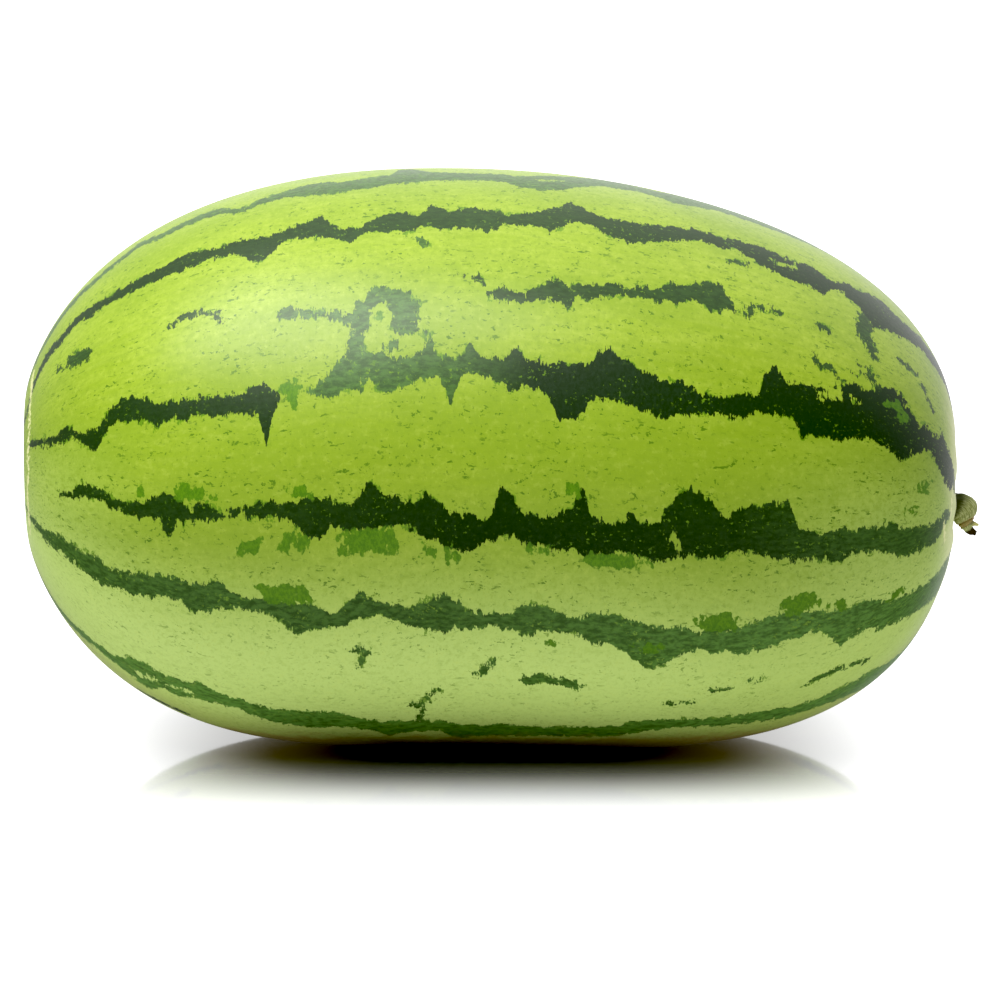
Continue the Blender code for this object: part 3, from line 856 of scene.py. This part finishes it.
# %% Dark stripes, ends and finish of the rind
# Round both ends the light ground turns cream, and a small corky scar marks where the flower sat. Streaks
# break up the pale stripes, and the half-ripe patches lie over the edges of the stripes.
end_ragged = math_node("MULTIPLY_ADD", clouds, 24.0, math_node("ADD", from_girth, -12.0))
light = blend(ramp(end_ragged, *STEM_CREAM, 0.0, 0.6), light, CREAM)
light = blend(ramp(end_ragged, *BLOSSOM_CREAM, 0.6, 0.0), light, CREAM)
stripe_share = math_node("MULTIPLY", stripe_share, ramp(end_ragged, *STRIPES_STOP, 1.0, 0.2))
dark_tone = blend(ramp(mottle, 0.4, 0.7), DARK_GREEN, DARK_BLUE_GREEN)
# Pale stripes turn a paler green, partly their own tone and partly painted sheen and highlight.
dark_tone = blend(
    math_node("MULTIPLY", paleness, ramp(streaks, 0.35, 0.65, 1.15, 0.5)), dark_tone, PALER_GREEN)
colour = blend(stripe_share, light, dark_tone)
colour = blend(patch_share, colour, half_ripe_tone)
# Cream scar lines near the stem, and along the blossom end a painted rim highlight.
colour = blend(ramp(math_node("ADD", in_cream, tooth_reach), -0.4, 0.6, 0.0, 0.85), colour, CREAM)
colour = blend(ramp(from_girth, *SCAR_EDGE, 1.0, 0.0), colour, CORK)

# The patch that lay on the soil stayed a dull yellow. Its height above the table is in metres.
height = add_node(tree, "ShaderNodeSeparateXYZ", {}, Vector=place).outputs["Z"]
soil = math_node("MULTIPLY_ADD", fringe_noise, 0.010, math_node("ADD", height, -0.005))
colour = blend(ramp(soil, *SOIL_HEIGHT, 1.0, 0.0), colour, GROUND_YELLOW)
tree.links.new(colour, shader.inputs["Base Color"])

# Wax makes the skin satin rather than glassy.
tree.links.new(ramp(mottle, 0.3, 0.7, *SATIN), shader.inputs["Roughness"])
shader.inputs["IOR"].default_value = WAX_IOR
bump_height = math_node("MULTIPLY_ADD", veins, 0.3, math_node("MULTIPLY", mottle, 0.3))
bump = add_node(tree, "ShaderNodeBump", {}, Strength=0.3, Distance=0.0003, Height=bump_height)
tree.links.new(bump.outputs["Normal"], shader.inputs["Normal"])
print("rind has", len(tree.nodes), "nodes")

# %% Put the fruit in the scene
fruit_mesh.materials.append(rind)
fruit = bpy.data.objects.new("fruit_skin", fruit_mesh)
bpy.context.scene.collection.objects.link(fruit)
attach(fruit, "root")
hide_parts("fruit")
print("fruit has", sum(len(p.vertices) - 2 for p in fruit_mesh.polygons), "triangles")

# %% [markdown]
# ## The stem
#
# A melon is cut or pulled off with a stub of its stalk, which dries, shrivels and bends. It is woody and
# full of fibres, so it has ridges along it, a crease where it bends, and a torn end: a pale flap of bark
# and a brown tip. It is lofted here through rings that fan round the bend. Each ring is given in mm, out
# from the foot and up from it: its outer edge, its inner edge, and its half depth. The crease and the
# flap are placed by ring number, counted from 0 at the foot.

# %% Rings of the stem
STALK_RINGS = np.array([
    (0.0, 5.8, 0.0, -5.9, 5.8),
    (2.2, 5.0, 1.7, -5.2, 5.0),
    (5.0, 4.6, 2.9, -5.1, 4.8),
    (8.0, 4.2, 3.6, -5.4, 4.7),
    (11.0, 2.9, 3.9, -5.9, 4.6),
    (12.9, 0.2, 4.2, -6.6, 4.4),
    (12.9, -2.6, 4.8, -7.3, 4.1),
    (12.0, -4.8, 5.6, -8.1, 3.6),
    (11.4, -6.4, 6.8, -9.2, 3.0),
    (11.3, -8.0, 8.2, -10.3, 2.4),
    (11.8, -9.3, 10.0, -11.5, 1.7),
    (13.0, -10.2, 12.3, -12.0, 1.0)])
STALK_SIDES = 96
STALK_STEPS = 9
RIDGES = 6
RIDGE_DEPTH = 0.05
FIBRE_DEPTH = 0.18
KNOT_DEPTH = 0.25
CREASE_AT = 6.9
CREASE_DEPTH = 0.5
FLAP_AT = 8.3
FLAP_WIDTH = 0.33
FLAP_REACH = 2.7
FLAP_DIRECTION = Vector((0.93, 0.0, -0.37))
FLAP_SIDES = 1.7


def smooth_row(rows, position):
    """Read a smooth curve through evenly spaced rows of numbers."""
    index = min(int(position), len(rows) - 2)
    t = position - index
    a, b, c, d = (rows[min(max(index + k, 0), len(rows) - 1)] for k in (-1, 0, 1, 2))
    return 0.5 * (2 * b + (c - a) * t + (2 * a - 5 * b + 4 * c - d) * t ** 2
                  + (3 * b - a - 3 * c + d) * t ** 3)


def stalk_point(row, position, angle):
    """One point of the stalk in mm from its foot: where it is, and how much it belongs to the flap."""
    outer, inner = Vector((row[0], 0.0, row[1])), Vector((row[2], 0.0, row[3]))
    centre, span = (outer + inner) / 2, (outer - inner) / 2
    swell = 1.0 + RIDGE_DEPTH * (math.cos(RIDGES * angle) - 1.0) / 2
    spoke = math.cos(angle) * span + math.sin(angle) * Vector((0.0, row[4], 0.0))
    fibres = noise.noise(Vector((3.0 * math.cos(angle), 3.0 * math.sin(angle), 0.35 * position)) * 1.9)
    knots = noise.noise(Vector((math.cos(angle), math.sin(angle), 1.3 * position)) * 1.2)
    crease = math.exp(-(((position - CREASE_AT - 0.5 * math.sin(angle)) / 0.22) ** 2))
    crease += 0.6 * math.exp(-(((position - CREASE_AT - 0.8) / 0.18) ** 2))
    flap = math.exp(-(((position - FLAP_AT) / FLAP_WIDTH) ** 4)) * max(0.0, math.cos(0.9 * angle)) ** 3
    flap = flap if abs(angle) < FLAP_SIDES else 0.0
    fade = min(1.0, position / 1.5)
    reach = FIBRE_DEPTH * fibres + KNOT_DEPTH * knots - CREASE_DEPTH * crease
    point = centre + swell * spoke + spoke.normalized() * reach * fade
    return point + FLAP_REACH * flap * FLAP_DIRECTION, flap


print(len(STALK_RINGS), "rings,", STALK_SIDES, "points round each")

# %% Mesh of the stem
bm = bmesh.new()
grain_layer = bm.verts.layers.float_vector.new("stalk")
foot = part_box("stem")
foot = Vector((foot[0][0], 0.0, STALK_FOOT_HEIGHT))
rings = []
for step in range(STALK_STEPS * (len(STALK_RINGS) - 1) + 1):
    position = step / STALK_STEPS
    row = smooth_row(STALK_RINGS, position)
    verts = bmesh.ops.create_circle(bm, segments=STALK_SIDES, radius=1.0)["verts"]
    for side, vert in enumerate(verts):
        angle = 2 * math.pi * side / STALK_SIDES
        angle = angle if angle < math.pi else angle - 2 * math.pi
        point, flap = stalk_point(row, position, angle)
        vert.co = foot + point * MM
        vert[grain_layer] = (position, angle, flap)
    rings.append({edge for vert in verts for edge in vert.link_edges})
for lower, upper in zip(rings, rings[1:]):
    bmesh.ops.bridge_loops(bm, edges=list(lower | upper))
for end in (rings[0], rings[-1]):
    bmesh.ops.holes_fill(bm, edges=list(end), sides=0)
bmesh.ops.recalc_face_normals(bm, faces=bm.faces[:])
open_edges = sum(not edge.is_manifold for edge in bm.edges)
stalk_mesh = bpy.data.meshes.new("fine_stalk")
bm.to_mesh(stalk_mesh)
bm.free()
stalk_mesh.shade_smooth()
print("stem has", len(stalk_mesh.vertices), "points and", open_edges, "open edges")

# %% [markdown]
# The dry bark is matt and olive, nearly black where it dips into the fruit, which is partly darker bark
# and partly painted shade of the hollow, tan along the crease and brown at the tip. Fine fibres in two
# tones run along it.

# %% Material of the stem
OLIVE = linear("#6e7638")
GREY_OLIVE = linear("#a9ae78")
DARK_OLIVE_AND_SHADE = linear("#343c14")
TAN = linear("#86703f")
PALE_BARK = linear("#b4b26c")
BROWN = linear("#33280f")
FIBRE_STRETCH = (0.5, 7.0, 1.0)
BARK_ROUGHNESS = 0.75
BARK_IOR = 1.4

stalk_finish, tree, shader = new_material("dry_olive_stalk")
measure = add_node(tree, "ShaderNodeAttribute", {"attribute_name": "stalk"}).outputs["Vector"]
parts = add_node(tree, "ShaderNodeSeparateXYZ", {}, Vector=measure).outputs
position, torn = parts["X"], parts["Z"]
place = add_node(tree, "ShaderNodeTexCoord").outputs["Object"]
fine = add_node(tree, "ShaderNodeTexNoise", {}, Vector=place, Scale=900.0, Detail=3.0).outputs["Fac"]
across = add_node(
    tree, "ShaderNodeVectorMath", {"operation": "MULTIPLY"}, _0=measure,
    _1=FIBRE_STRETCH).outputs["Vector"]
fibre = add_node(
    tree, "ShaderNodeTexNoise", {}, Vector=across, Scale=1.6, Detail=3.0, Roughness=0.6).outputs["Fac"]
position = math_node("MULTIPLY_ADD", fine, 0.8, math_node("ADD", position, -0.4))
olive = blend(ramp(fibre, 0.35, 0.65), OLIVE, GREY_OLIVE)
# Nearly black at the foot: partly darker bark, partly painted shade of the hollow.
bark = blend(ramp(position, 2.4, 4.2, 1.0, 0.0), olive, DARK_OLIVE_AND_SHADE)
tan_share = math_node("MULTIPLY", ramp(position, 6.0, 6.6), ramp(position, 7.6, 8.2, 1.0, 0.0))
tan_share = math_node("MULTIPLY", tan_share, ramp(fibre, 0.35, 0.6, 0.35, 1.0))
bark = blend(tan_share, bark, TAN)
bark = blend(ramp(torn, 0.12, 0.4), bark, PALE_BARK)
bark = blend(ramp(position, 8.9, 9.5), bark, BROWN)
bark = blend(ramp(fine, 0.5, 0.75, 0.0, 0.4), bark, DARK_OLIVE_AND_SHADE)
tree.links.new(bark, shader.inputs["Base Color"])
shader.inputs["Roughness"].default_value = BARK_ROUGHNESS
shader.inputs["IOR"].default_value = BARK_IOR
bump = add_node(tree, "ShaderNodeBump", {}, Strength=0.5, Distance=0.0002, Height=fibre)
tree.links.new(bump.outputs["Normal"], shader.inputs["Normal"])
print("stem's finish has", len(tree.nodes), "nodes")

# %% Put the stem in the scene
stalk_mesh.materials.append(stalk_finish)
stalk = bpy.data.objects.new("stalk_stub", stalk_mesh)
bpy.context.scene.collection.objects.link(stalk)
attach(stalk, "root")
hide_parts("stem")
low_corner, high_corner = stalk.bound_box[0], stalk.bound_box[6]
print("stem from", [round(v, 4) for v in low_corner], "to", [round(v, 4) for v in high_corner])
